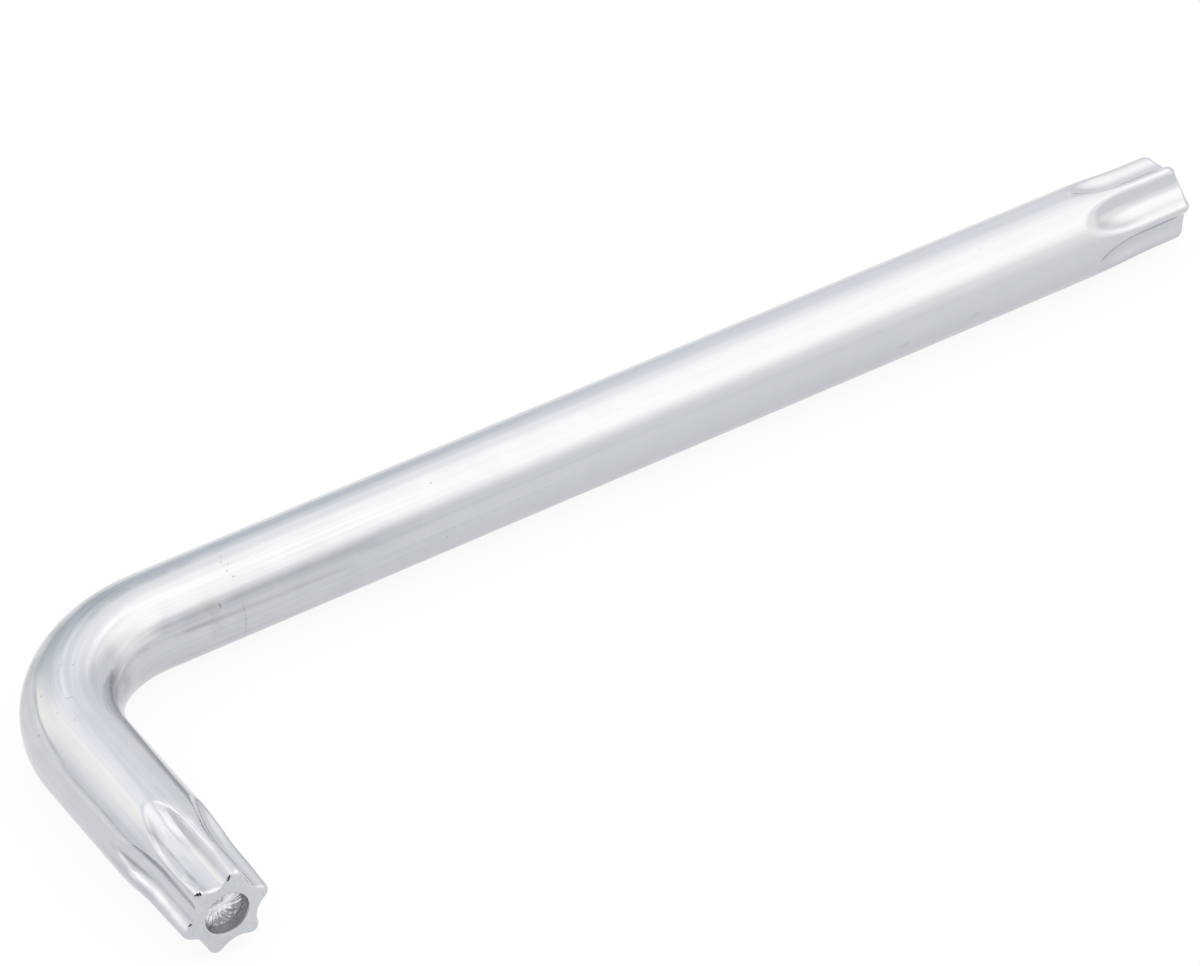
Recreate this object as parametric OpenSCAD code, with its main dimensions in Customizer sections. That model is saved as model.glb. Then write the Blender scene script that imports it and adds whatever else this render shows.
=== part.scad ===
// Star key: an L-shaped hexalobular key, size 50, for star screws with or without a security pin.
// One alloy-steel bar, bent cold, with a six-lobe drive pressed onto each end.
// The short arm's end face has a shallow hole that clears the pin of a security screw.
//
// Frame: the key lies flat on Z = 0, the long arm runs along +X and the short arm along -Y.
// The origin is the middle of the footprint, at the surface that the key lies on.

/* [Bar] */
// Diameter of the round bar
bar_d = 9.5; // [9.2:0.1:12]
// Overall length of the long side, outside to tip
long_side = 136.3; // [80:0.1:220]
// Overall length of the short side, outside to tip
short_side = 43.8; // [40:0.1:80]
// Bend radius at the bar's centre line
bend_r = 13.7; // [10:0.1:18]

/* [Six-lobe drives] */
// Drive size across opposite lobes
drive_d = 8.9; // [8.5:0.05:9.1]
// Drive size across opposite flute floors
root_d = 6.4; // [6.2:0.05:7]
// Radius of a lobe's crest
lobe_r = 0.75; // [0.5:0.05:0.8]
// Rounding of the edge round each end face
edge_r = 0.35; // [0.1:0.05:0.45]

/* [Short tip] */
// Length of the full drive section on the short tip
short_neck = 5.6; // [4:0.1:8]
// Length of the shoulder between the short tip's lobes and the bar
short_shoulder = 5.6; // [2:0.1:7]
// Length of the straight part of the short tip's flutes
short_flute = 6; // [4:0.1:9]
// Radius on which the short tip's flutes run out of the bar
short_runout_r = 12.5; // [5:0.5:20]
// Turn of the short tip's lobes about the arm, from +X towards -Z
short_turn = 51; // [0:1:59]

/* [Long tip] */
// Length of the full drive section on the long tip
long_neck = 5.4; // [4:0.1:8]
// Length of the shoulder between the long tip's lobes and the bar
long_shoulder = 5.6; // [2:0.1:7]
// Length of the straight part of the long tip's flutes
long_flute = 6.5; // [4:0.1:9]
// Radius on which the long tip's flutes run out of the bar
long_runout_r = 11; // [5:0.5:20]
// Turn of the long tip's lobes about the arm, from +Z towards +Y
long_turn = 43.5; // [0:0.5:59.5]

/* [Security hole] */
// Diameter of the hole in the short end face
pin_hole_d = 4.3; // [3:0.1:4.5]
// Depth of the hole's wall
pin_hole_depth = 1.3; // [0.8:0.1:6]
// Extra depth in the middle of the hole's dished floor
pin_hole_dish = 0.25; // [0.1:0.05:0.6]

/* [Hidden] */
$fn = 96;

lobes = 6;
lobe_pitch = 360 / lobes;
bar_r = bar_d / 2;
drive_r = drive_d / 2;
root_r = root_d / 2;

// Arm lengths along the centre line, from the corner where the two centre lines cross
long_reach = long_side - bar_r;
short_reach = short_side - bar_r;

// A lobe's crest is a circle of lobe_r, and a flute is the circle that touches two crests
// and the root circle
crest_x = drive_r - lobe_r;
flute_r = (pow(lobe_r, 2) - pow(crest_x, 2) - pow(root_r, 2)
        + 2 * crest_x * root_r * cos(lobe_pitch / 2))
    / (2 * (root_r - crest_x * cos(lobe_pitch / 2) - lobe_r));
flute_x = root_r + flute_r;

// Point where the flute circle touches the crest circle beside it
flute_centre = flute_x * [cos(lobe_pitch / 2), sin(lobe_pitch / 2)];
to_flute = flute_centre - [crest_x, 0];
touch = [crest_x, 0] + to_flute * lobe_r / norm(to_flute);
touch_r = norm(touch);

// Each flute is cut this much over size, so that it crosses the crests instead of grazing them
graze = 0.005;
cutter_r = flute_r + graze;

// The shoulder starts just inside the lobes and comes up through them over this length
shoulder_start = 0.8;
inside_lobes = 0.1;
// The lobes' own solids end this far up, inside the shoulder
lobe_overlap = 1.2;
// Cutters pass through free faces by this much
past = 1;
// The run-out cutter turns far enough to leave the bar
runout_angle = 75;

// Point at an angle, for an outline given by its radius
function turned(p, angle) = [
    p[0] * cos(angle) - p[1] * sin(angle),
    p[0] * sin(angle) + p[1] * cos(angle)
];

// Core of the drive: through the crests' centres and the points where the flutes touch them
module drive_core() {
    polygon([
        for (k = [0 : lobes - 1])
            for (p = [[touch[0], -touch[1]], [crest_x, 0], touch])
                turned(p, k * lobe_pitch)
    ]);
}

// One lobe's crest: a round post with a rounded end edge, from the end face upwards
module crest(height) {
    rotate_extrude() {
        square([lobe_r - edge_r, height]);
        translate([0, edge_r])
            square([lobe_r, height - edge_r]);
        intersection() {
            translate([lobe_r - edge_r, edge_r])
                circle(edge_r);
            square([lobe_r, height]);
        }
    }
}

// The bar at a tip: inside the lobes at the neck, then up through them on a shoulder to full size
module shoulder(neck, length, height) {
    rotate_extrude()
        polygon([
            [0, neck],
            [touch_r - inside_lobes, neck],
            [drive_r, neck + shoulder_start],
            [bar_r, neck + length],
            [bar_r, height],
            [0, height]
        ]);
}

// What one flute takes away: a straight round-bottomed cut, flared at the end face,
// that rises out of the bar on an arc
module flute_cut(straight, runout_r) {
    translate([flute_x, 0, 0]) {
        translate([0, 0, -past])
            cylinder(r = cutter_r, h = straight + past);
        rotate_extrude()
            difference() {
                translate([0, -past])
                    square([cutter_r + edge_r, edge_r + past]);
                translate([cutter_r + edge_r, edge_r])
                    circle(edge_r);
            }
        // The arc's centre lies outside the bar, level with the end of the straight cut
        translate([runout_r - flute_r, 0, straight])
            rotate([90, 0, 180])
                rotate_extrude(angle = runout_angle)
                    intersection() {
                        translate([runout_r - flute_r, 0])
                            circle(cutter_r);
                        translate([0, -past - cutter_r])
                            square([runout_r + past, 2 * (cutter_r + past)]);
                    }
    }
}

// An arm before its flutes are cut: lobes at the end face on Z = 0, and the round bar above them
module arm_blank(height, neck, shoulder_length, turn) {
    shoulder(neck, shoulder_length, height);
    rotate(turn)
        linear_extrude(neck + lobe_overlap)
            drive_core();
    for (k = [0 : lobes - 1])
        rotate(turn + k * lobe_pitch)
            translate([crest_x, 0, 0])
                crest(neck + lobe_overlap);
}

// The flutes of one drive, each between two lobes
module flute_cuts(straight, runout_r, turn) {
    for (k = [0 : lobes - 1])
        rotate(turn + (k + 0.5) * lobe_pitch)
            flute_cut(straight, runout_r);
}

// The shallow hole for a security pin: a round wall down to a dished floor
module security_hole() {
    translate([0, 0, -past])
        cylinder(d = pin_hole_d, h = pin_hole_depth + past);
    translate([0, 0, pin_hole_depth])
        cylinder(d1 = pin_hole_d, d2 = 0, h = pin_hole_dish);
}

// The bend between the arms, with the crossing of the centre lines at the origin
module bend() {
    translate([bend_r, -bend_r, 0])
        rotate(90)
            rotate_extrude(angle = 90)
                translate([bend_r, 0])
                    circle(bar_r);
}

// Puts what is drawn from an end face upwards onto the long tip
module at_long_tip() {
    translate([long_reach, 0, 0])
        rotate([0, -90, 0])
            children();
}

// Puts what is drawn from an end face upwards onto the short tip
module at_short_tip() {
    translate([0, -short_reach, 0])
        rotate([-90, 0, 0])
            children();
}

// The whole key is one bar, so it is one solid
module star_key() {
    color("silver")
        translate([(bar_r - long_reach) / 2, (short_reach - bar_r) / 2, bar_r])
            difference() {
                union() {
                    bend();
                    at_long_tip()
                        arm_blank(long_reach - bend_r, long_neck, long_shoulder, long_turn);
                    at_short_tip()
                        arm_blank(short_reach - bend_r, short_neck, short_shoulder, short_turn);
                }
                at_long_tip()
                    flute_cuts(long_flute, long_runout_r, long_turn);
                at_short_tip()
                    flute_cuts(short_flute, short_runout_r, short_turn);
                at_short_tip()
                    security_hole();
            }
}

star_key();
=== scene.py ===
"""Looks of the star key: a chrome-plated bar bent square, with a six-lobe drive pressed onto each tip.

The whole key is one surface on a grid. Rows run along the bar from the middle of the long tip's end face
to the bottom of the hole in the short tip's end face, and columns run round the bar.
"""
import bpy
import math
import numpy as np
from mathutils import Matrix


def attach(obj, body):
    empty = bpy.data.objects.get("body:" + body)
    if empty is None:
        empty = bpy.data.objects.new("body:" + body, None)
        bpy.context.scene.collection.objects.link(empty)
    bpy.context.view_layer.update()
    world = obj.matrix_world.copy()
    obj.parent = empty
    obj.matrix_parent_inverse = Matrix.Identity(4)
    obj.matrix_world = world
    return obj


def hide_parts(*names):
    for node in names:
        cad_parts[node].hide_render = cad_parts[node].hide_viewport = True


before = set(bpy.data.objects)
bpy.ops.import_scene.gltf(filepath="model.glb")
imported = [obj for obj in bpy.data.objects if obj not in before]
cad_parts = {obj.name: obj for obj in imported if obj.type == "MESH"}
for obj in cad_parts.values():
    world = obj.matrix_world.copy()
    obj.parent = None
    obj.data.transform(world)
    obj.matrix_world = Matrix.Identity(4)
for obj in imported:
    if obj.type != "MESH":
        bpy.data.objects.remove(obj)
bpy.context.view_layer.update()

# Sizes in millimetres, the same as the part's own
MM = 0.001
BAR_R = 4.75
LONG_REACH = 131.55
SHORT_REACH = 39.05
BEND_R = 13.7
DRIVE_R = 4.45
ROOT_R = 3.2
LOBE_R = 0.75
LOBES = 6
LOBE_PITCH = 2 * math.pi / LOBES
HOLE_R = 2.15
HOLE_DEPTH = 1.3
HOLE_DISH = 0.25
# Where the two centre lines cross, from the key's origin
CORNER = np.array([-63.4, 17.15, 4.75])
# How far from each end face the drive's own surface reaches, before the plain round bar
LONG_TIP_LENGTH = 13.0
SHORT_TIP_LENGTH = 15.0
# Rounding of the hole's rim, and the height of the torn relief on its floor
HOLE_RIM = 0.1
TORN_HEIGHT = 0.11

# Lengths along the centre line, from the long tip's end face
BEND_START = LONG_REACH - BEND_R
BEND_END = BEND_START + BEND_R * math.pi / 2
BAR_LENGTH = BEND_END + SHORT_REACH - BEND_R
# Length round the bar of one degree of turn
DEGREE = math.radians(BAR_R)

# The flute circle touches two crests and the root circle
CREST_X = DRIVE_R - LOBE_R
FLUTE_R = (LOBE_R ** 2 - CREST_X ** 2 - ROOT_R ** 2
           + 2 * CREST_X * ROOT_R * math.cos(LOBE_PITCH / 2)) / (
    2 * (ROOT_R - CREST_X * math.cos(LOBE_PITCH / 2) - LOBE_R))
FLUTE_X = ROOT_R + FLUTE_R

# One tip's drive: where its lobes and shoulder end, how its flutes run out, how its edges are rounded
LONG_TIP = dict(shoulder=(3.0, 12.5), lead_in=0.0, flute=6.5, runout_r=11.0, turn=math.radians(46.5),
                edge=0.35, crest_edge=0.8, worn_edge=0.0, crest=0.7, lip=0.5, lean=0.0)
SHORT_TIP = dict(shoulder=(5.5, 12.2), lead_in=0.12, flute=5.2, runout_r=16.0, turn=math.radians(50.8),
                 edge=0.3, crest_edge=0.25, worn_edge=0.16, crest=0.65, lip=0.14, lean=math.radians(5.5))

# Where the lobes lean: the flank's middle and half width, in radians from the lobe, the depths over which the
# lean comes and goes, and the turn from the first lobe, in radians, over which it comes in
FLANK_MIDDLE = 0.105
FLANK_WIDTH = 0.12
PRESS_STARTS = (0.6, 3.5)
PRESS_ENDS = (4.5, 12.0)
LEAN_FROM = (-0.9, -0.5)
# Depths over which the lead-in at the end face goes, and over which the crests' rounding gives way to the
# sharper rounding of the flutes' mouths
LEAD_IN_DEPTHS = (0.0, 5.0)
MOUTH_DEPTHS = (4.5, 10.0)
# Half width of the worn stretch of the short end's edge, in radians
WORN_WIDTH = 0.33

# Lines that drawing left along the bar, with painted shade and painted highlight along some of them: from and
# to along it, turn round it at both ends in degrees from its outer side, half width in mm, height in
# thousandths of a millimetre, and how much they darken the plate, partly line stains and partly painted
# shade, or lighten it where that is below zero, which is painted highlight
LINES_AND_PAINTED_LIGHT = [
    (88.0, 124.0, 155.0, 152.0, 1.10, 0.0, 0.09),
    (94.0, 124.0, 152.5, 149.5, 0.35, -6.0, 0.12),
    (97.0, 119.0, 170.0, 165.5, 0.26, -7.0, 0.16),
    (110.0, 130.0, 169.0, 156.0, 0.24, -7.0, 0.15),
    (111.0, 127.0, 88.0, 86.5, 0.70, -5.0, 0.20),
    (118.0, 135.0, 68.0, 44.0, 0.95, 0.0, 0.30),
    (124.0, 137.0, 46.0, 18.0, 1.10, 0.0, 0.30),
    (121.0, 139.0, 82.0, 87.5, 0.20, 14.0, -0.25),
    (118.0, 137.0, 76.0, 80.0, 0.16, -8.0, 0.10),
    (136.0, 152.0, 87.5, 82.0, 0.16, 7.0, -0.16),
    (119.0, 135.0, 111.0, 113.0, 0.20, 8.0, -0.24),
    (120.0, 139.0, 117.0, 122.0, 0.22, -8.0, 0.09),
    (127.0, 138.0, 96.0, 93.0, 0.14, 6.0, -0.12),
    (130.0, 144.0, 56.0, 36.0, 0.17, -14.0, 0.24),
    (140.0, 158.0, 36.0, 36.5, 0.13, -10.0, 0.28),
    (129.0, 144.0, 51.0, 30.5, 0.20, 9.0, -0.18),
    (140.0, 158.0, 31.0, 31.5, 0.18, 8.0, -0.20),
    (126.0, 150.0, 4.0, 2.0, 0.30, 6.0, -0.10),
    (126.5, 140.5, 146.0, 141.5, 0.50, -6.0, 0.20),
    (127.5, 143.0, 146.0, 139.5, 0.24, -14.0, 0.16),
    (125.0, 141.0, 157.0, 147.0, 0.10, 5.0, -0.45),
    (125.0, 137.0, 175.0, 163.0, 1.50, 0.0, 0.34),
    (136.0, 158.0, 143.0, 122.0, 0.28, -12.0, 0.36),
    (129.0, 152.0, 153.0, 130.0, 0.14, 8.0, -0.30),
    (154.0, 162.0, 93.0, 95.0, 0.22, -8.0, 0.16),
    (153.0, 164.0, 78.0, 79.0, 0.16, 6.0, -0.14),
    (150.5, 163.0, 98.0, 97.0, 0.20, 0.0, 0.12),
    (153.0, 161.0, 94.5, 106.5, 0.12, 0.0, -0.45),
    (155.5, 162.5, 106.0, 105.0, 0.28, 0.0, -0.40),
    (160.5, 172.0, 96.0, 96.0, 0.25, 0.0, 0.14),
    (154.5, 172.0, 61.5, 60.5, 0.22, 0.0, 0.36),
    (156.5, 172.0, 54.3, 54.3, 0.22, 0.0, -0.42),
    (157.0, 172.0, 49.3, 49.3, 0.12, 0.0, 0.18),
    (152.3, 157.0, 18.5, -3.0, 0.15, 0.0, -0.85),
    (154.6, 172.0, 4.0, -2.0, 0.27, 0.0, -0.58),
    (151.5, 158.5, 17.5, 7.0, 0.20, 0.0, 0.46),
    (155.5, 172.0, 10.0, 12.5, 0.20, 0.0, 0.14),
    (150.0, 160.0, -1.0, -4.5, 0.50, 0.0, 0.20),
    (155.0, 172.0, 33.8, 38.0, 0.26, 0.0, 0.30),
]
# Spots: place along the bar and turn, half length and half width in mm, and how dark they are
SPOTS = [
    (130.1, 39.0, 0.10, 0.10, 0.5), (137.7, 37.0, 0.12, 0.10, 0.6), (134.6, 58.0, 0.16, 0.12, 0.25),
    (137.4, 68.4, 0.10, 0.10, 0.3), (139.2, 79.2, 0.10, 0.10, 0.3), (131.6, 96.2, 0.10, 0.12, 0.4),
    (136.3, 87.5, 0.07, 0.36, 0.45), (88.5, 116.0, 0.12, 0.12, 0.35), (24.7, 112.0, 0.30, 0.25, 0.10),
    (35.9, 189.0, 0.70, 0.40, 0.08), (27.4, 189.0, 0.60, 0.35, 0.08), (112.6, 152.4, 0.12, 0.35, 0.3),
    (110.3, 100.0, 0.16, 0.16, 0.18), (110.7, 106.0, 0.12, 0.12, 0.22), (110.2, 112.0, 0.14, 0.14, 0.22),
    (110.6, 119.0, 0.10, 0.12, 0.28), (110.3, 128.0, 0.22, 0.10, 0.25),
]
# Places along the bar of the faint clamp ring and of the brown tint beside it
CLAMP_RING = 110.4
BROWN_TINT = 113.4
# Burrs where the flutes meet the short end face, drawn only as dark spots, painted shade of burrs that are
# not built: radius and turn, and their half size in mm
BURR_SHADE_SPOTS = [
    (4.34, 51.2, 0.12), (4.22, 53.4, 0.13), (4.06, 55.8, 0.11),
    (4.31, 103.2, 0.08), (4.18, 102.2, 0.08), (4.05, 101.4, 0.08), (3.92, 100.6, 0.08), (3.78, 99.8, 0.08),
    (3.64, 98.8, 0.07), (3.52, 97.4, 0.06),
    (4.10, 2.3, 0.07), (3.96, 2.8, 0.08), (3.81, 3.6, 0.08), (3.66, 4.8, 0.08), (3.51, 6.3, 0.07),
]
# Reflectance of the plate, between which its lines and unevenness vary
PLATE_DARK = (0.500, 0.523, 0.563, 1)
PLATE_LIGHT = (0.610, 0.628, 0.658, 1)
# Roughness of the plate where it is smoothest
PLATE_ROUGHNESS = 0.075


def smooth(x, low, high):
    """Soft step from 0 at low to 1 at high: 3t^2 - 2t^3."""
    t = np.clip((x - low) / (high - low), 0.0, 1.0)
    return t * t * (3 - 2 * t)


def flute_depth(r, angle, depth, tip):
    """How far a point lies inside the nearest flutes' cutters, in millimetres, below zero outside them.

    Near the end face the cutter is a round bar of FLUTE_R whose middle is FLUTE_X from the axis: FLUTE_R less
    the distance to that middle. Past the straight part it is a wheel with a round rim, so the distance is
    taken to the rim's own middle circle. The two flutes beside the point's lobe are given.
    """
    angle = (angle + LOBE_PITCH / 2) % LOBE_PITCH - LOBE_PITCH / 2
    beside = []
    for side in (0.5, -0.5):
        a = angle - side * LOBE_PITCH
        x, y = r * np.cos(a), r * np.sin(a)
        wheel_r = tip["runout_r"] - FLUTE_R
        wheel_x = FLUTE_X + wheel_r
        past = np.maximum(depth - tip["flute"], 0.0)
        rim = wheel_r - np.hypot(wheel_x - x, past)
        beside.append(FLUTE_R - np.hypot(rim, y))
    return beside


def outside(r, angle, depth, tip):
    """Signed distance from the tip's section, rounded where its parts meet.

    The lobes lean a little where they were pressed. Behind the end face the angle is turned by up to lean, by
    a bell curve on one flank of each lobe, but not on the two lobes before the first one.
    The parts are the round envelope, which rises from the lobes to the bar over the shoulder and draws in by
    lead_in at the end face, and the flutes. Each part's distance is raised by k and clipped at zero, and the
    length of the three, less k, is a corner rounded with radius k.
    """
    in_lobe = (angle + LOBE_PITCH / 2) % LOBE_PITCH - LOBE_PITCH / 2
    flank = np.exp(-((in_lobe - FLANK_MIDDLE) / FLANK_WIDTH) ** 2)
    pressed = smooth(depth, *PRESS_STARTS) * (1 - smooth(depth, *PRESS_ENDS))
    turned = (angle + math.pi) % (2 * math.pi) - math.pi
    pressed = pressed * smooth(turned, *LEAN_FROM)
    angle = angle + tip["lean"] * pressed * flank
    rise = smooth(depth, *tip["shoulder"])
    drawn_in = tip["lead_in"] * (1 - smooth(depth, *LEAD_IN_DEPTHS))
    envelope = r - (DRIVE_R + (BAR_R - DRIVE_R) * rise - drawn_in)
    k = tip["crest"] + (tip["lip"] - tip["crest"]) * smooth(depth, *MOUTH_DEPTHS)
    parts = [envelope] + flute_depth(r, angle, depth, tip)
    largest = np.maximum(np.maximum(parts[0], parts[1]), parts[2])
    rounded = np.sqrt(sum(np.maximum(p + k, 0.0) ** 2 for p in parts)) - k
    return np.where(largest > -k, rounded, largest)


def outline(angle, depth, inset, tip):
    """Radius of the tip's section at an angle and depth, drawn in by inset: the root of outside() + inset,
    found by halving the interval for the whole grid at once."""
    low, high = np.full(np.shape(angle), 1.0), np.full(np.shape(angle), 5.0)
    for _ in range(34):
        middle = (low + high) / 2
        inner = outside(middle, angle, depth, tip) + inset < 0
        low, high = np.where(inner, middle, low), np.where(inner, high, middle)
    return (low + high) / 2


def along_bar(s):
    """Centre of the bar and its outer side at a length s along it, from CORNER.

    The centre line is a straight, a quarter circle of BEND_R about (BEND_R, -BEND_R) from the corner, and a
    straight. The outer side points away from the bend's centre.
    """
    turn = np.clip((s - BEND_START) / BEND_R, 0.0, math.pi / 2)
    out = np.stack([-np.sin(turn), np.cos(turn), 0 * s], -1)
    centre = np.stack([BEND_R + BEND_R * out[..., 0] + np.maximum(BEND_START - s, 0.0),
                       -BEND_R + BEND_R * out[..., 1] - np.maximum(s - BEND_END, 0.0),
                       0 * s], -1)
    return centre, out


def tip_edge(tip, angle):
    """Radius of the rounding between the end face and the sides: larger on the crests, by a power of a
    cosine, and at the worn flute, by a bell curve."""
    on_crest = (0.5 + 0.5 * np.cos(LOBES * angle)) ** 2
    off = (angle - 0.5 * LOBE_PITCH + math.pi) % (2 * math.pi) - math.pi
    return tip["edge"] + tip["crest_edge"] * on_crest + tip["worn_edge"] * np.exp(-(off / WORN_WIDTH) ** 2)


def lumpy(x, y, seed, octaves=4):
    """Rough relief from -1 to 1: sines in seeded directions, each octave twice as fine and half as high."""
    rng = np.random.default_rng(seed)
    total, size = 0 * x, 0.0
    for octave in range(octaves):
        for _ in range(5):
            a, shift = rng.uniform(0, 2 * math.pi, 2)
            wave = 2.0 ** octave
            total = total + np.sin(wave * (x * math.cos(a) + y * math.sin(a)) + shift) / wave
            size += 0.45 / wave
    return total / size


def tears(angle, seed):
    """Radial tears from -1 to 1: sines of the angle with seeded whole frequencies, so that they close up."""
    rng = np.random.default_rng(seed)
    total = 0 * angle
    for frequency in rng.choice(np.arange(7, 34), 9, replace=False):
        total = total + np.sin(frequency * angle + rng.uniform(0, 2 * math.pi))
    return total / 4.5


def columns(per_lobe=34, gather=0.42):
    """Angles round the bar, from the first lobe: even steps drawn towards the crests by a sine."""
    u = np.arange(per_lobe) / per_lobe
    u = u - gather / (2 * math.pi) * np.sin(2 * math.pi * u)
    return (LOBE_PITCH * (np.arange(LOBES)[:, None] + u)).ravel()


def key_grid():
    """Length along the bar, radius and turn of every grid point, and the kind of each row.

    Rows, in order: the long end face, its rounded edge, the long arm, the bend, the short arm, the rounded
    edge, the short end face, the hole's rim, wall and floor.
    """
    base = columns()[None, :]
    rows_s, rows_r, kinds = [], [], []

    def add(s, r, kind):
        s, r, _ = np.broadcast_arrays(s, r, base)
        rows_s.append(s)
        rows_r.append(r)
        kinds.extend([kind] * s.shape[0])

    def rounded_edge(tip, steps):
        """Quarter circle: depth e(1 - cos a) below the face, drawn in by e(1 - sin a)."""
        a = np.linspace(0, math.pi / 2, steps)[:, None]
        e = tip_edge(tip, base)
        depth = e * (1 - np.cos(a))
        return depth, outline(base + 0 * a, depth, e * (1 - np.sin(a)), tip)

    # Long end face, from its middle outwards, and its edge
    depth, radius = rounded_edge(LONG_TIP, 9)
    share = np.array([0.0, 0.12, 0.3, 0.5, 0.7, 0.84, 0.93, 0.98])[:, None]
    add(0 * share, share * radius[:1], "face")
    add(depth, radius, "edge")

    # Sides of the long tip, from its edge to the plain bar
    e_long = tip_edge(LONG_TIP, base)
    t = np.linspace(0, 1, 88)[1:, None]
    s = e_long + (LONG_TIP_LENGTH - e_long) * t
    add(s, outline(base + 0 * t, s, 0.0, LONG_TIP), "tip")

    # The plain bar and the bend
    s = np.concatenate([np.linspace(LONG_TIP_LENGTH, BEND_START, 44)[1:],
                        np.linspace(BEND_START, BEND_END, 52)[1:],
                        np.linspace(BEND_END, BAR_LENGTH - SHORT_TIP_LENGTH, 9)[1:]])[:, None]
    add(s, BAR_R + 0 * s, "bar")

    # Sides of the short tip, down to its edge
    e_short = tip_edge(SHORT_TIP, base)
    t = np.linspace(1, 0, 104)[1:, None]
    depth = e_short + (SHORT_TIP_LENGTH - e_short) * t
    add(BAR_LENGTH - depth, outline(base + 0 * t, depth, 0.0, SHORT_TIP), "tip")
    depth, radius = rounded_edge(SHORT_TIP, 13)
    depth, radius = depth[::-1], radius[::-1]
    add(BAR_LENGTH - depth[1:], radius[1:], "edge")

    # Short end face, in to the hole's rim
    share = np.array([0.98, 0.94, 0.86, 0.75, 0.6, 0.42, 0.25, 0.1, 0.0])[:, None]
    add(BAR_LENGTH + 0 * share, HOLE_R + HOLE_RIM + share * (radius[-1:] - HOLE_R - HOLE_RIM), "face")
    a = np.linspace(0, math.pi / 2, 6)[1:, None]
    add(BAR_LENGTH - HOLE_RIM * (1 - np.cos(a)), HOLE_R + HOLE_RIM * (1 - np.sin(a)), "rim")

    # The hole's wall, and its torn floor down to the middle
    t = np.linspace(0, 1, 14)[1:, None]
    add(BAR_LENGTH - HOLE_RIM - (HOLE_DEPTH - HOLE_RIM) * t, HOLE_R + 0 * t, "wall")
    share = np.linspace(1, 0, 24)[1:, None]
    x, y = share * HOLE_R * np.cos(base), share * HOLE_R * np.sin(base)
    torn = tears(base + 0.5 * share, 11) * 0.7 * smooth(share, 0.2, 0.8) + lumpy(3.2 * x, 3.2 * y, 5) * 0.6
    torn *= TORN_HEIGHT * smooth(1 - share, 0.0, 0.12) * smooth(share, 0.0, 0.25)
    add(BAR_LENGTH - HOLE_DEPTH - HOLE_DISH * (1 - share) - torn, share * HOLE_R, "floor")

    s, r = np.concatenate(rows_s), np.concatenate(rows_r)
    # The columns start at a lobe on both tips, so they turn slowly between the two
    turn = base + LONG_TIP["turn"] + (SHORT_TIP["turn"] - LONG_TIP["turn"]) * smooth(s, 20.0, 110.0)
    return s, r, turn, np.array(kinds)


def key_mesh():
    """The grid as a mesh: centre + r (cos turn) out + r (sin turn) up, with one point at each pole."""
    s, r, turn, kinds = key_grid()
    centre, out = along_bar(s)
    points = centre + r[..., None] * (np.cos(turn)[..., None] * out
                                      + np.sin(turn)[..., None] * np.array([0, 0, 1.0]))
    points = (points + CORNER) * MM
    straight = np.stack([s, r * np.cos(turn), r * np.sin(turn)], -1) * MM
    n, m = s.shape
    # The first and last row are the poles, so each becomes a single point
    vertices = np.concatenate([points[:1, 0], points[1:-1].reshape(-1, 3), points[-1:, 0]])
    straight = np.concatenate([straight[:1, 0], straight[1:-1].reshape(-1, 3), straight[-1:, 0]])
    last = len(vertices) - 1
    row, col = np.meshgrid(np.arange(n - 3), np.arange(m), indexing="ij")
    first, second = 1 + row * m + col, 1 + row * m + (col + 1) % m
    quads = np.stack([first, first + m, second + m, second], -1).reshape(-1, 4)
    j = np.arange(m)
    fan_in = np.stack([0 * j, 1 + j, 1 + (j + 1) % m], -1)
    final = 1 + (n - 3) * m
    fan_out = np.stack([final + j, last + 0 * j, final + (j + 1) % m], -1)

    mesh = bpy.data.meshes.new("star_key_plated")
    mesh.from_pydata(vertices.tolist(), [], fan_in.tolist() + quads.tolist() + fan_out.tolist())
    mesh.polygons.foreach_set("use_smooth", np.ones(len(mesh.polygons), bool))
    # The punched wall and the torn floor of the hole are bare steel, and all the rest is plated
    bare = np.isin(kinds[1:-2], ("wall", "floor"))
    slots = np.concatenate([np.zeros(m, int), np.repeat(bare.astype(int), m), np.ones(m, int)])
    mesh.polygons.foreach_set("material_index", slots)
    place = mesh.attributes.new("bar_place", "FLOAT_VECTOR", "POINT")
    place.data.foreach_set("vector", straight.astype(np.float32).ravel())
    mesh.update()
    return mesh


# Shader helpers and shared node groups

def node(tree, kind, inputs=(), **settings):
    """A node with its settings and its inputs, each a value or another node's output."""
    made = tree.nodes.new(kind)
    for name, value in settings.items():
        setattr(made, name, value)
    for name, value in dict(inputs).items():
        if isinstance(value, bpy.types.NodeSocket):
            tree.links.new(value, made.inputs[name])
        else:
            made.inputs[name].default_value = value
    return made


def math_node(tree, operation, a, b=0.0, c=0.0, clamp=False):
    """One Math node's output."""
    return node(tree, "ShaderNodeMath", {0: a, 1: b, 2: c}, operation=operation, use_clamp=clamp).outputs[0]


def new_group(name, inputs, outputs):
    """A shader node group with named sockets: inputs and outputs are (name, type, default)."""
    group = bpy.data.node_groups.new(name, "ShaderNodeTree")
    for label, kind, value in inputs:
        socket = group.interface.new_socket(label, in_out="INPUT", socket_type=kind)
        if value is not None:
            socket.default_value = value
    for label, kind in outputs:
        group.interface.new_socket(label, in_out="OUTPUT", socket_type=kind)
    return group, group.nodes.new("NodeGroupInput").outputs, group.nodes.new("NodeGroupOutput").inputs


FLOAT, VECTOR = "NodeSocketFloat", "NodeSocketVector"


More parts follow.
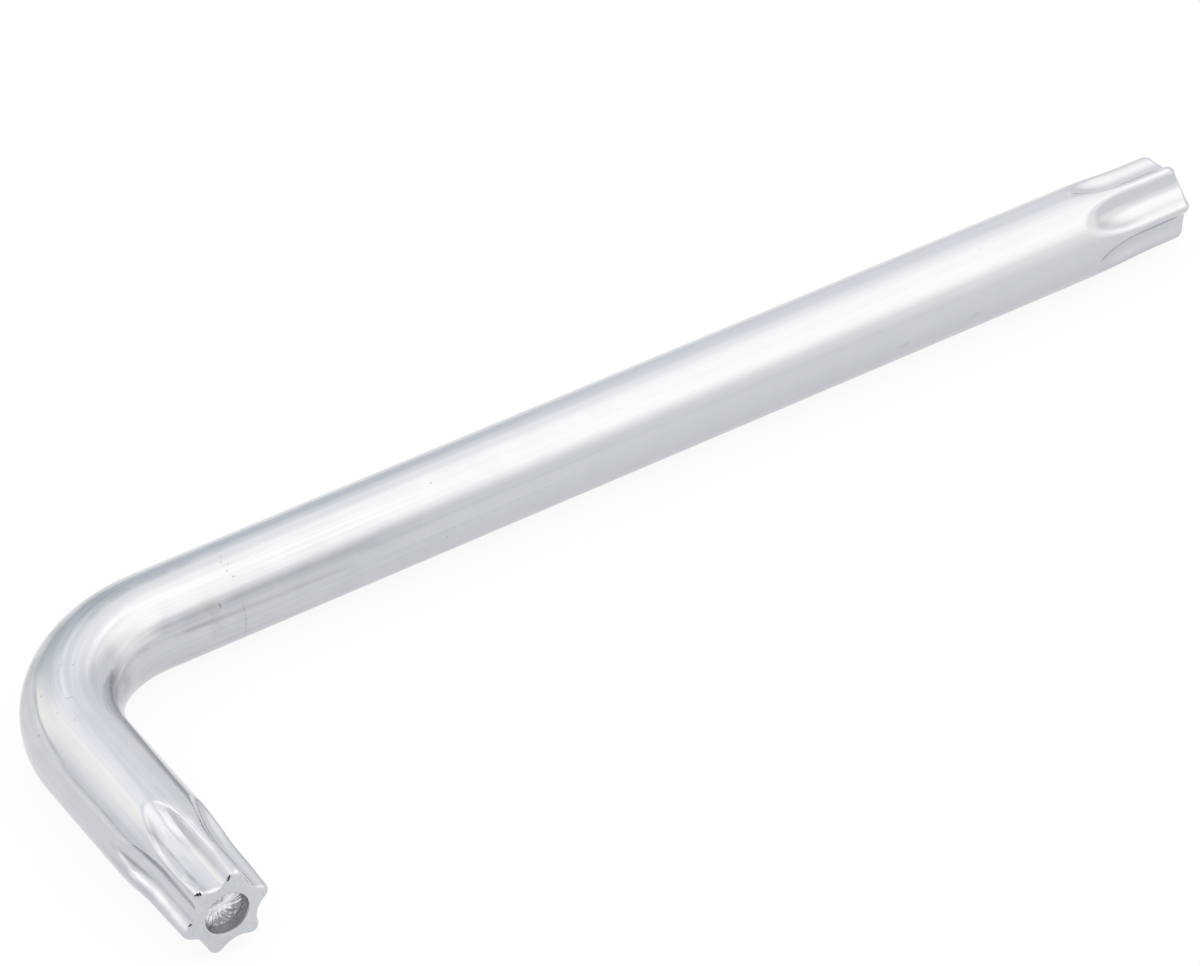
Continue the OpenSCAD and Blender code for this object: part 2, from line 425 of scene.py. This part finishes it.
def draw_lines_group():
    """Fine lines along the bar, from drawing it: noise that is stretched along the bar."""
    group, given, out = new_group(
        "draw lines",
        [("Place", VECTOR, None), ("Line Width mm", FLOAT, 0.3), ("Line Length mm", FLOAT, 30.0)],
        [("Lines", FLOAT), ("Broad Bands", FLOAT)])
    parts = node(group, "ShaderNodeSeparateXYZ", {0: given["Place"]})
    across = math_node(group, "DIVIDE", 1000.0, given["Line Width mm"])
    lengthwise = math_node(group, "DIVIDE", 1000.0, given["Line Length mm"])
    stretched = node(group, "ShaderNodeCombineXYZ", {
        0: math_node(group, "MULTIPLY", parts.outputs[0], lengthwise),
        1: math_node(group, "MULTIPLY", parts.outputs[1], across),
        2: math_node(group, "MULTIPLY", parts.outputs[2], across)}).outputs[0]
    fine = node(group, "ShaderNodeTexNoise",
                {"Vector": stretched, "Scale": 1.0, "Detail": 3.0, "Roughness": 0.6})
    slower = node(group, "ShaderNodeVectorMath", {0: stretched, 1: (0.4, 0.16, 0.16)}, operation="MULTIPLY")
    broad = node(group, "ShaderNodeTexNoise",
                 {"Vector": slower.outputs[0], "Scale": 1.0, "Detail": 2.0, "Roughness": 0.5})
    group.links.new(fine.outputs["Fac"], out["Lines"])
    group.links.new(broad.outputs["Fac"], out["Broad Bands"])
    return group


def plate_grain_group():
    """The plate's fine grain and its slow unevenness: two noises, fine and broad."""
    group, given, out = new_group(
        "plate grain",
        [("Place", VECTOR, None), ("Grain mm", FLOAT, 0.25), ("Unevenness mm", FLOAT, 3.0)],
        [("Grain", FLOAT), ("Unevenness", FLOAT)])
    fine = node(group, "ShaderNodeTexNoise", {
        "Vector": given["Place"], "Scale": math_node(group, "DIVIDE", 1000.0, given["Grain mm"]),
        "Detail": 2.0, "Roughness": 0.55})
    slow = node(group, "ShaderNodeTexNoise", {
        "Vector": given["Place"], "Scale": math_node(group, "DIVIDE", 1000.0, given["Unevenness mm"]),
        "Detail": 1.5, "Roughness": 0.5})
    group.links.new(fine.outputs["Fac"], out["Grain"])
    group.links.new(slow.outputs["Fac"], out["Unevenness"])
    return group


def round_the_bar(group, place):
    """Length along the bar in mm and turn round it in degrees, from -90 to 270, of a place on the bar."""
    parts = node(group, "ShaderNodeSeparateXYZ", {0: place}).outputs
    turn = math_node(group, "DEGREES", math_node(group, "ARCTAN2", parts[2], parts[1]))
    return math_node(group, "DIVIDE", parts[0], MM), math_node(group, "WRAP", turn, 270.0, -90.0)


def soft_step(group, value, low, high, from_value=0.0, to_value=1.0, kind="SMOOTHSTEP"):
    """One Map Range node's output."""
    return node(group, "ShaderNodeMapRange", {0: value, 1: low, 2: high, 3: from_value, 4: to_value},
                interpolation_type=kind).outputs[0]


def lines_and_painted_light_group():
    """The lines of LINES_AND_PAINTED_LIGHT: bell-shaped ridges and grooves along the bar, each at its own
    turn, with their tone, which is partly line stains and partly painted shade and painted highlight.
    """
    group, given, out = new_group("lines and painted light", [("Place", VECTOR, None)],
                                  [("Height mm", FLOAT), ("Line Stain And Painted Light", FLOAT)])
    length, turn = round_the_bar(group, given["Place"])
    sway = node(group, "ShaderNodeTexNoise", {"Vector": given["Place"], "Scale": 160.0, "Detail": 1.0})
    turn = math_node(group, "MULTIPLY_ADD", sway.outputs["Fac"], 3.0, math_node(group, "SUBTRACT", turn, 1.5))
    patchy = node(group, "ShaderNodeTexNoise", {"Vector": given["Place"], "Scale": 420.0}).outputs[0]
    uneven = soft_step(group, patchy, 0.3, 0.6, 0.35, 1.0)
    height, dark = 0.0, 0.0
    for start, end, turn_start, turn_end, half_width, micrometres, darkness in LINES_AND_PAINTED_LIGHT:
        middle = soft_step(group, length, start, end, turn_start, turn_end, "LINEAR")
        off = math_node(group, "MULTIPLY", math_node(group, "SUBTRACT", turn, middle),
                        DEGREE / half_width)
        squared = math_node(group, "POWER", off, 2.0)
        bell = math_node(group, "EXPONENT", math_node(group, "MULTIPLY", squared, -1.0))
        # The lines in the short tip's flutes start more abruptly than the others
        fade_in = 1.5 if start > BAR_LENGTH - SHORT_TIP_LENGTH else 5.0
        ends = math_node(group, "MULTIPLY", soft_step(group, length, start, start + fade_in),
                         soft_step(group, length, end - 4.0, end, 1.0, 0.0))
        level = math_node(group, "MULTIPLY", bell, ends)
        height = math_node(group, "MULTIPLY_ADD", level, micrometres * MM, height)
        # The tone darkens the plate, partly as line stains and partly as painted shade, and lightens it as
        # painted highlight where it is below zero
        dark = math_node(group, "MULTIPLY_ADD", level, darkness, dark)
    # None of them crosses the short end face
    off_face = soft_step(group, length, BAR_LENGTH - 0.3, BAR_LENGTH - 0.1, 1.0, 0.0)
    uneven = math_node(group, "MULTIPLY", uneven, off_face)
    group.links.new(math_node(group, "MULTIPLY", height, uneven), out["Height mm"])
    group.links.new(math_node(group, "MULTIPLY", dark, uneven), out["Line Stain And Painted Light"])
    return group


def marks_and_burr_shade_group():
    """Marks of handling and plating: the SPOTS, a faint clamp ring and a brown tint beside it; and the dark
    spots at the BURR_SHADE_SPOTS, which are painted shade.
    """
    group, given, out = new_group("handling marks and burr shade", [("Place", VECTOR, None)],
                                  [("Dark", FLOAT), ("Burr Shade", FLOAT), ("Tint", FLOAT)])
    length, turn = round_the_bar(group, given["Place"])
    ragged = node(group, "ShaderNodeTexNoise",
                  {"Vector": given["Place"], "Scale": 2600.0, "Detail": 2.0}).outputs[0]
    dark = 0.0
    for along, at_turn, half_length, half_width, darkness in SPOTS:
        off = node(group, "ShaderNodeCombineXYZ", {
            0: math_node(group, "MULTIPLY_ADD", length, 1 / half_length, -along / half_length),
            1: math_node(group, "MULTIPLY_ADD", turn, DEGREE / half_width,
                         -DEGREE * at_turn / half_width)}).outputs[0]
        far = node(group, "ShaderNodeVectorMath", {0: off}, operation="LENGTH").outputs["Value"]
        far = math_node(group, "MULTIPLY_ADD", ragged, 0.9, math_node(group, "SUBTRACT", far, 0.45))
        dark = math_node(group, "MULTIPLY_ADD", soft_step(group, far, 0.5, 1.2, 1.0, 0.0), darkness, dark)
    off_ring = math_node(group, "ABSOLUTE", math_node(group, "SUBTRACT", length, CLAMP_RING))
    ring = math_node(group, "MULTIPLY", soft_step(group, off_ring, 0.04, 0.16, 1.0, 0.0),
                     math_node(group, "MULTIPLY", soft_step(group, turn, 148.0, 168.0),
                               soft_step(group, ragged, 0.35, 0.6)))
    dark = math_node(group, "MULTIPLY_ADD", ring, 0.16, dark)
    group.links.new(dark, out["Dark"])

    # Dark spots at the burrs: painted shade, for burrs that are not built
    burr_shade = 0.0
    across = node(group, "ShaderNodeVectorMath", {0: given["Place"], 1: (0.0, 1.0, 1.0)},
                  operation="MULTIPLY").outputs[0]
    for radius, at_turn, size in BURR_SHADE_SPOTS:
        spot = np.array([0.0, math.cos(math.radians(at_turn)), math.sin(math.radians(at_turn))]) * radius * MM
        far = node(group, "ShaderNodeVectorMath", {0: across, 1: spot.tolist()}, operation="DISTANCE")
        far = math_node(group, "MULTIPLY_ADD", far.outputs["Value"], 1 / (size * MM),
                        math_node(group, "MULTIPLY", ragged, 0.5))
        burr_shade = math_node(group, "MAXIMUM", soft_step(group, far, 1.05, 1.45, 1.0, 0.0), burr_shade)
    at_end = soft_step(group, length, BAR_LENGTH - 0.42, BAR_LENGTH - 0.3)
    group.links.new(math_node(group, "MULTIPLY", burr_shade, at_end), out["Burr Shade"])

    off_tint = math_node(group, "ABSOLUTE", math_node(group, "SUBTRACT", length, BROWN_TINT))
    tint = math_node(group, "MULTIPLY", soft_step(group, off_tint, 0.1, 1.1, 1.0, 0.0),
                     math_node(group, "MULTIPLY", soft_step(group, turn, 134.0, 146.0),
                               soft_step(group, turn, 180.0, 200.0, 1.0, 0.0)))
    group.links.new(math_node(group, "MULTIPLY", tint, soft_step(group, ragged, 0.3, 0.65)), out["Tint"])
    return group


def pits_group():
    """Scattered pits and specks: small discs round a few of a cell pattern's points."""
    group, given, out = new_group(
        "pits and specks",
        [("Place", VECTOR, None), ("Spacing mm", FLOAT, 3.0), ("Size", FLOAT, 0.06), ("Share", FLOAT, 0.2)],
        [("Pits", FLOAT)])
    cells = node(group, "ShaderNodeTexVoronoi", {
        "Vector": given["Place"], "Scale": math_node(group, "DIVIDE", 1000.0, given["Spacing mm"])},
        feature="F1")
    near = math_node(group, "LESS_THAN", cells.outputs["Distance"], given["Size"])
    chosen = node(group, "ShaderNodeSeparateColor", {0: cells.outputs["Color"]}).outputs[0]
    some = math_node(group, "LESS_THAN", chosen, given["Share"])
    group.links.new(math_node(group, "MULTIPLY", near, some), out["Pits"])
    return group


def new_material(name):
    """An empty node material with its Principled shader."""
    material = bpy.data.materials.new(name)
    material.use_nodes = True
    tree = material.node_tree
    return material, tree, tree.nodes["Principled BSDF"]


def chrome_material(groups):
    """Satin chrome plate: neutral grey-blue reflectance, with drawn lines, grain, marks and pits, painted
    shade and painted highlight along some of the lines, and painted shade at the burrs.
    """
    material, tree, shader = new_material("satin_chrome")
    place = node(tree, "ShaderNodeAttribute", attribute_name="bar_place").outputs["Vector"]

    def placed(name, **values):
        """One of the shared groups, on the bar's own coordinates and with this finish's values."""
        made = node(tree, "ShaderNodeGroup", node_tree=groups[name])
        tree.links.new(place, made.inputs["Place"])
        for label, value in values.items():
            made.inputs[label.replace("_", " ")].default_value = value
        return made.outputs

    fine = placed("lines", Line_Width_mm=0.36, Line_Length_mm=34.0)
    broad = placed("lines", Line_Width_mm=1.3, Line_Length_mm=70.0)
    grain = placed("grain", Grain_mm=0.20, Unevenness_mm=4.0)
    pits = placed("pits", Spacing_mm=2.6, Size=0.045, Share=0.12)
    flow = placed("flow")
    marks = placed("marks")

    # The lines have worn away towards the long tip
    length, _ = round_the_bar(tree, place)
    fresh = soft_step(tree, length, 55.0, 118.0, 0.30, 1.0)
    tone = 0.0
    for part, share in ((fine["Lines"], 0.4), (broad["Lines"], 0.35), (grain["Unevenness"], 0.25)):
        tone = math_node(tree, "MULTIPLY_ADD", soft_step(tree, part, 0.3, 0.7), share, tone)
    tone = math_node(tree, "MULTIPLY_ADD", math_node(tree, "SUBTRACT", tone, 0.5), fresh, 0.5)
    plate = node(tree, "ShaderNodeMix", {"Factor": tone, "A": PLATE_DARK, "B": PLATE_LIGHT},
                 data_type="RGBA").outputs["Result"]

    def over(factor, share, base, colour):
        """A colour laid over another one where a mask says so."""
        return node(tree, "ShaderNodeMix", {"Factor": math_node(tree, "MULTIPLY", factor, share, clamp=True),
                                            "A": base, "B": colour}, data_type="RGBA").outputs["Result"]

    # Near black over the plate: the spots and the clamp ring are real marks, and the lines' darkening is
    # partly line stains and partly painted shade
    plate = over(math_node(tree, "ADD", flow["Line Stain And Painted Light"], marks["Dark"]), 1.0, plate, (0.05, 0.05, 0.06, 1))
    # Near white where the lines' tone is below zero: painted highlight, lighter than the plate can reflect
    plate = over(flow["Line Stain And Painted Light"], -1.0, plate, (0.92, 0.93, 0.95, 1))
    plate = over(marks["Tint"], 0.35, plate, (0.50, 0.40, 0.36, 1))
    plate = over(pits["Pits"], 0.4, plate, (0.2, 0.19, 0.18, 1))
    # Near black at the burrs: painted shade
    plate = over(marks["Burr Shade"], 1.0, plate, (0.035, 0.033, 0.03, 1))
    tree.links.new(plate, shader.inputs["Base Color"])
    rough = PLATE_ROUGHNESS
    for part, share in ((fine["Lines"], 0.05), (grain["Grain"], 0.04), (pits["Pits"], 0.3),
                        (marks["Burr Shade"], 0.5)):
        rough = math_node(tree, "MULTIPLY_ADD", part, share, rough)
    tree.links.new(rough, shader.inputs["Roughness"])
    shader.inputs["Metallic"].default_value = 1.0
    # The relief, with each pattern's height in millimetres
    height = flow["Height mm"]
    for part, millimetres in ((fine["Lines"], 0.004), (broad["Lines"], 0.016), (grain["Grain"], 0.0014),
                              (grain["Unevenness"], 0.012), (pits["Pits"], -0.003)):
        height = math_node(tree, "MULTIPLY_ADD", part, millimetres, height)
    height = math_node(tree, "MULTIPLY", height, fresh)
    bump = node(tree, "ShaderNodeBump", {"Height": height, "Strength": 1.0, "Distance": MM})
    tree.links.new(bump.outputs["Normal"], shader.inputs["Normal"])
    return material


def steel_material(groups):
    """Bare steel on the torn floor and the punched wall of the hole: duller and rougher than the plate, with
    painted shade on the wall and partly painted light in the floor's grain.
    """
    material, tree, shader = new_material("punched_steel")
    place = node(tree, "ShaderNodeAttribute", attribute_name="bar_place").outputs["Vector"]
    grain = node(tree, "ShaderNodeGroup", node_tree=groups["grain"])
    tree.links.new(place, grain.inputs["Place"])
    grain.inputs["Grain mm"].default_value = 0.3
    grain.inputs["Unevenness mm"].default_value = 0.9
    # The floor's grain runs from grey to near white, lighter than bare steel: partly the steel's grain,
    # partly painted light
    colour = node(tree, "ShaderNodeMix", {"Factor": grain.outputs["Grain"], "A": (0.62, 0.63, 0.65, 1),
                                          "B": (0.95, 0.96, 0.97, 1)}, data_type="RGBA")
    # The punched wall is painted darker than the floor: painted shade in the hole's recess
    parts = node(tree, "ShaderNodeSeparateXYZ", {0: place}).outputs
    radius = math_node(tree, "DIVIDE", node(tree, "ShaderNodeVectorMath", {
        0: node(tree, "ShaderNodeCombineXYZ", {1: parts[1], 2: parts[2]}).outputs[0]},
        operation="LENGTH").outputs["Value"], MM * HOLE_R)
    painted_wall_shade = soft_step(tree, radius, 0.93, 0.99)
    colour = node(tree, "ShaderNodeMix", {"Factor": painted_wall_shade, "A": colour.outputs["Result"],
                                          "B": (0.30, 0.31, 0.335, 1)}, data_type="RGBA")
    tree.links.new(colour.outputs["Result"], shader.inputs["Base Color"])
    rough = math_node(tree, "MULTIPLY_ADD", grain.outputs["Unevenness"], 0.25, 0.2)
    tree.links.new(rough, shader.inputs["Roughness"])
    shader.inputs["Metallic"].default_value = 1.0
    bump = node(tree, "ShaderNodeBump",
                {"Height": grain.outputs["Grain"], "Strength": 1.0, "Distance": 0.00004})
    tree.links.new(bump.outputs["Normal"], shader.inputs["Normal"])
    return material


def make_key():
    """The key's surface, with its materials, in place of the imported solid."""
    key = bpy.data.objects.new("star_key_plated", key_mesh())
    bpy.context.scene.collection.objects.link(key)
    groups = {"lines": draw_lines_group(), "grain": plate_grain_group(), "pits": pits_group(),
              "flow": lines_and_painted_light_group(), "marks": marks_and_burr_shade_group()}
    key.data.materials.append(chrome_material(groups))
    key.data.materials.append(steel_material(groups))
    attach(key, "root")
    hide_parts("star_key")


def make_floor():
    """Plain white floor. The camera and the metal see it as mostly even white, with the key's shadow."""
    size = 4.0
    corners = np.array([[-size, -size, 0], [size, -size, 0], [size, size, 0], [-size, size, 0]])
    mesh = bpy.data.meshes.new("floor")
    mesh.from_pydata(corners.tolist(), [], [(0, 1, 2, 3)])
    floor = bpy.data.objects.new("floor", mesh)
    bpy.context.scene.collection.objects.link(floor)
    material, tree, shader = new_material("white_floor")
    shader.inputs["Base Color"].default_value = (0.87, 0.87, 0.87, 1)
    shader.inputs["Roughness"].default_value = 0.9
    shader.inputs["Specular IOR Level"].default_value = 0.0
    path = node(tree, "ShaderNodeLightPath").outputs
    mirrored = math_node(tree, "MAXIMUM", path["Is Glossy Ray"], path["Is Transmission Ray"])
    white = node(tree, "ShaderNodeEmission", {"Color": (1, 1, 1, 1), "Strength": 1.0})
    share = math_node(tree, "MAXIMUM", math_node(tree, "MULTIPLY", path["Is Camera Ray"], 0.9),
                      math_node(tree, "MULTIPLY", mirrored, 0.65))
    mixed = node(tree, "ShaderNodeMixShader", {0: share, 1: shader.outputs[0], 2: white.outputs[0]})
    tree.links.new(mixed.outputs[0], tree.nodes["Material Output"].inputs["Surface"])
    material.cycles.emission_sampling = "NONE"
    mesh.materials.append(material)


def make_world():
    """White surroundings at strength 1, for the camera, the metal and the floor alike."""
    world = bpy.data.worlds.new("studio")
    bpy.context.scene.world = world
    world.use_nodes = True
    background = world.node_tree.nodes["Background"]
    background.inputs["Color"].default_value = (1, 1, 1, 1)
    background.inputs["Strength"].default_value = 1.0


def facing(azimuth, elevation, distance):
    """Placement of a card that faces the key: its first axis is level and its third points away from the key.

    Azimuth is from +X towards +Y.
    """
    a, e = math.radians(azimuth), math.radians(elevation)
    away = np.array([math.cos(a) * math.cos(e), math.sin(a) * math.cos(e), math.sin(e)])
    level = np.array([-math.sin(a), math.cos(a), 0.0])
    placed = Matrix(np.stack([level, np.cross(away, level), away], 1).tolist()).to_4x4()
    placed.translation = (away * distance).tolist()
    return placed


def soft_edges(tree, place, fades):
    """A level that is 1 in the middle of a card and fades to 0 at its edges, over a share of its half width
    and half height. place runs from 0 to 1 over the card."""
    across = node(tree, "ShaderNodeSeparateXYZ", {0: place})
    level = 1.0
    for axis, fade in enumerate(fades):
        centred = math_node(tree, "MULTIPLY_ADD", across.outputs[axis], 2.0, -1.0)
        from_middle = math_node(tree, "ABSOLUTE", centred)
        falls = soft_step(tree, from_middle, 1.0, 1.0 - fade, kind="SMOOTHERSTEP")
        level = math_node(tree, "MULTIPLY", level, falls)
    return level


def soft_lamp(name, azimuth, elevation, distance, width, height, radiance, fades):
    """An area lamp that faces the key, with soft edges. Its radiance per colour adds to the white room's."""
    light = bpy.data.lights.new(name, "AREA")
    light.shape = "RECTANGLE"
    light.size, light.size_y = width, height
    brightest = max(radiance)
    light.color = [part / brightest for part in radiance]
    light.energy = math.pi * brightest * width * height
    light.use_nodes = True
    tree = light.node_tree
    place = node(tree, "ShaderNodeNewGeometry").outputs["Parametric"]
    tree.links.new(soft_edges(tree, place, fades), tree.nodes["Emission"].inputs["Strength"])
    lamp = bpy.data.objects.new(name, light)
    bpy.context.scene.collection.objects.link(lamp)
    lamp.matrix_world = facing(azimuth, elevation, distance)
    lamp.visible_camera = False


def make_flag():
    """A soft grey flag behind the key, out of the picture, which the chrome shows as its darker bands."""
    width, height = 1.0, 1.2
    corners = np.array([[-1, -1, 0], [1, -1, 0], [1, 1, 0], [-1, 1, 0]]) * [width / 2, height / 2, 0]
    mesh = bpy.data.meshes.new("grey_flag")
    mesh.from_pydata(corners.tolist(), [], [(0, 1, 2, 3)])
    flag = bpy.data.objects.new("grey_flag", mesh)
    bpy.context.scene.collection.objects.link(flag)
    flag.matrix_world = facing(82.3, 12.7, 0.9)
    material, tree, shader = new_material("soft_grey_flag")
    tree.nodes.remove(shader)
    place = node(tree, "ShaderNodeVectorMath",
                 {0: node(tree, "ShaderNodeTexCoord").outputs["Object"],
                  1: (1 / width, 1 / height, 1.0), 2: (0.5, 0.5, 0.0)}, operation="MULTIPLY_ADD").outputs[0]
    grey = node(tree, "ShaderNodeEmission", {"Color": (0.731, 0.769, 0.821, 1), "Strength": 1.0})
    clear = node(tree, "ShaderNodeBsdfTransparent")
    mixed = node(tree, "ShaderNodeMixShader", {0: soft_edges(tree, place, (1.0, 1.0)),
                                               1: clear.outputs[0], 2: grey.outputs[0]})
    tree.links.new(mixed.outputs[0], tree.nodes["Material Output"].inputs["Surface"])
    material.cycles.emission_sampling = "NONE"
    mesh.materials.append(material)
    flag.visible_camera = flag.visible_diffuse = flag.visible_shadow = False


def make_lights():
    """The photograph's studio: broad warm boxes above and at the front right, a dim one behind, a warm and a
    cool card and a bright box at the left, a narrow warm card low behind, and a grey flag.

    Each lamp is given by azimuth, elevation, distance, width, height, radiance and the fades of its edges.
    """
    soft_lamp("soft_box_above", -27.9, 67.0, 1.0, 3.40, 2.08, (0.717, 0.659, 0.592), (1.0, 1.0))
    soft_lamp("soft_box_front", -33.4, 24.5, 1.3, 2.07, 2.20, (0.358, 0.321, 0.273), (0.81, 0.99))
    soft_lamp("soft_box_back", 92.4, 33.3, 1.2, 3.37, 1.53, (0.172, 0.174, 0.176), (0.74, 0.63))
    soft_lamp("warm_card_left", 116.1, 28.7, 1.0, 0.84, 0.65, (0.230, 0.187, 0.065), (1.0, 0.08))
    soft_lamp("cool_card_left", 115.3, 53.3, 1.0, 0.73, 1.26, (0.133, 0.125, 0.139), (0.29, 1.0))
    soft_lamp("soft_box_left", 153.0, 60.0, 1.0, 0.78, 0.80, (0.620, 0.585, 0.560), (0.85, 0.60))
    soft_lamp("warm_card_back", 84.5, 13.2, 1.2, 0.30, 1.73, (0.240, 0.220, 0.215), (0.97, 0.30))
    make_flag()


def make_camera():
    """The photograph's camera: a long lens above the short arm's side, tilted slightly by its roll."""
    aim = np.array([-0.004588, 0.010483, 0.00475])
    distance, azimuth, elevation, roll = 0.49320, -120.636, 37.759, 3.091
    a, e, r = (math.radians(x) for x in (azimuth, elevation, roll))
    away = np.array([math.cos(a) * math.cos(e), math.sin(a) * math.cos(e), math.sin(e)])
    level = np.array([-math.sin(a), math.cos(a), 0.0])
    up = np.cross(away, level)
    right = level * math.cos(r) - up * math.sin(r)
    camera = bpy.data.objects.new("camera", bpy.data.cameras.new("camera"))
    bpy.context.scene.collection.objects.link(camera)
    placed = Matrix(np.stack([right, np.cross(away, right), away], 1).tolist()).to_4x4()
    placed.translation = (aim + away * distance).tolist()
    camera.matrix_world = placed
    camera.data.sensor_width = 36.0
    camera.data.lens = 155.49
    camera.data.clip_start = 0.01
    bpy.context.scene.camera = camera


make_camera()
make_world()
make_floor()
make_lights()
make_key()
bpy.context.scene.view_settings.view_transform = "Standard"
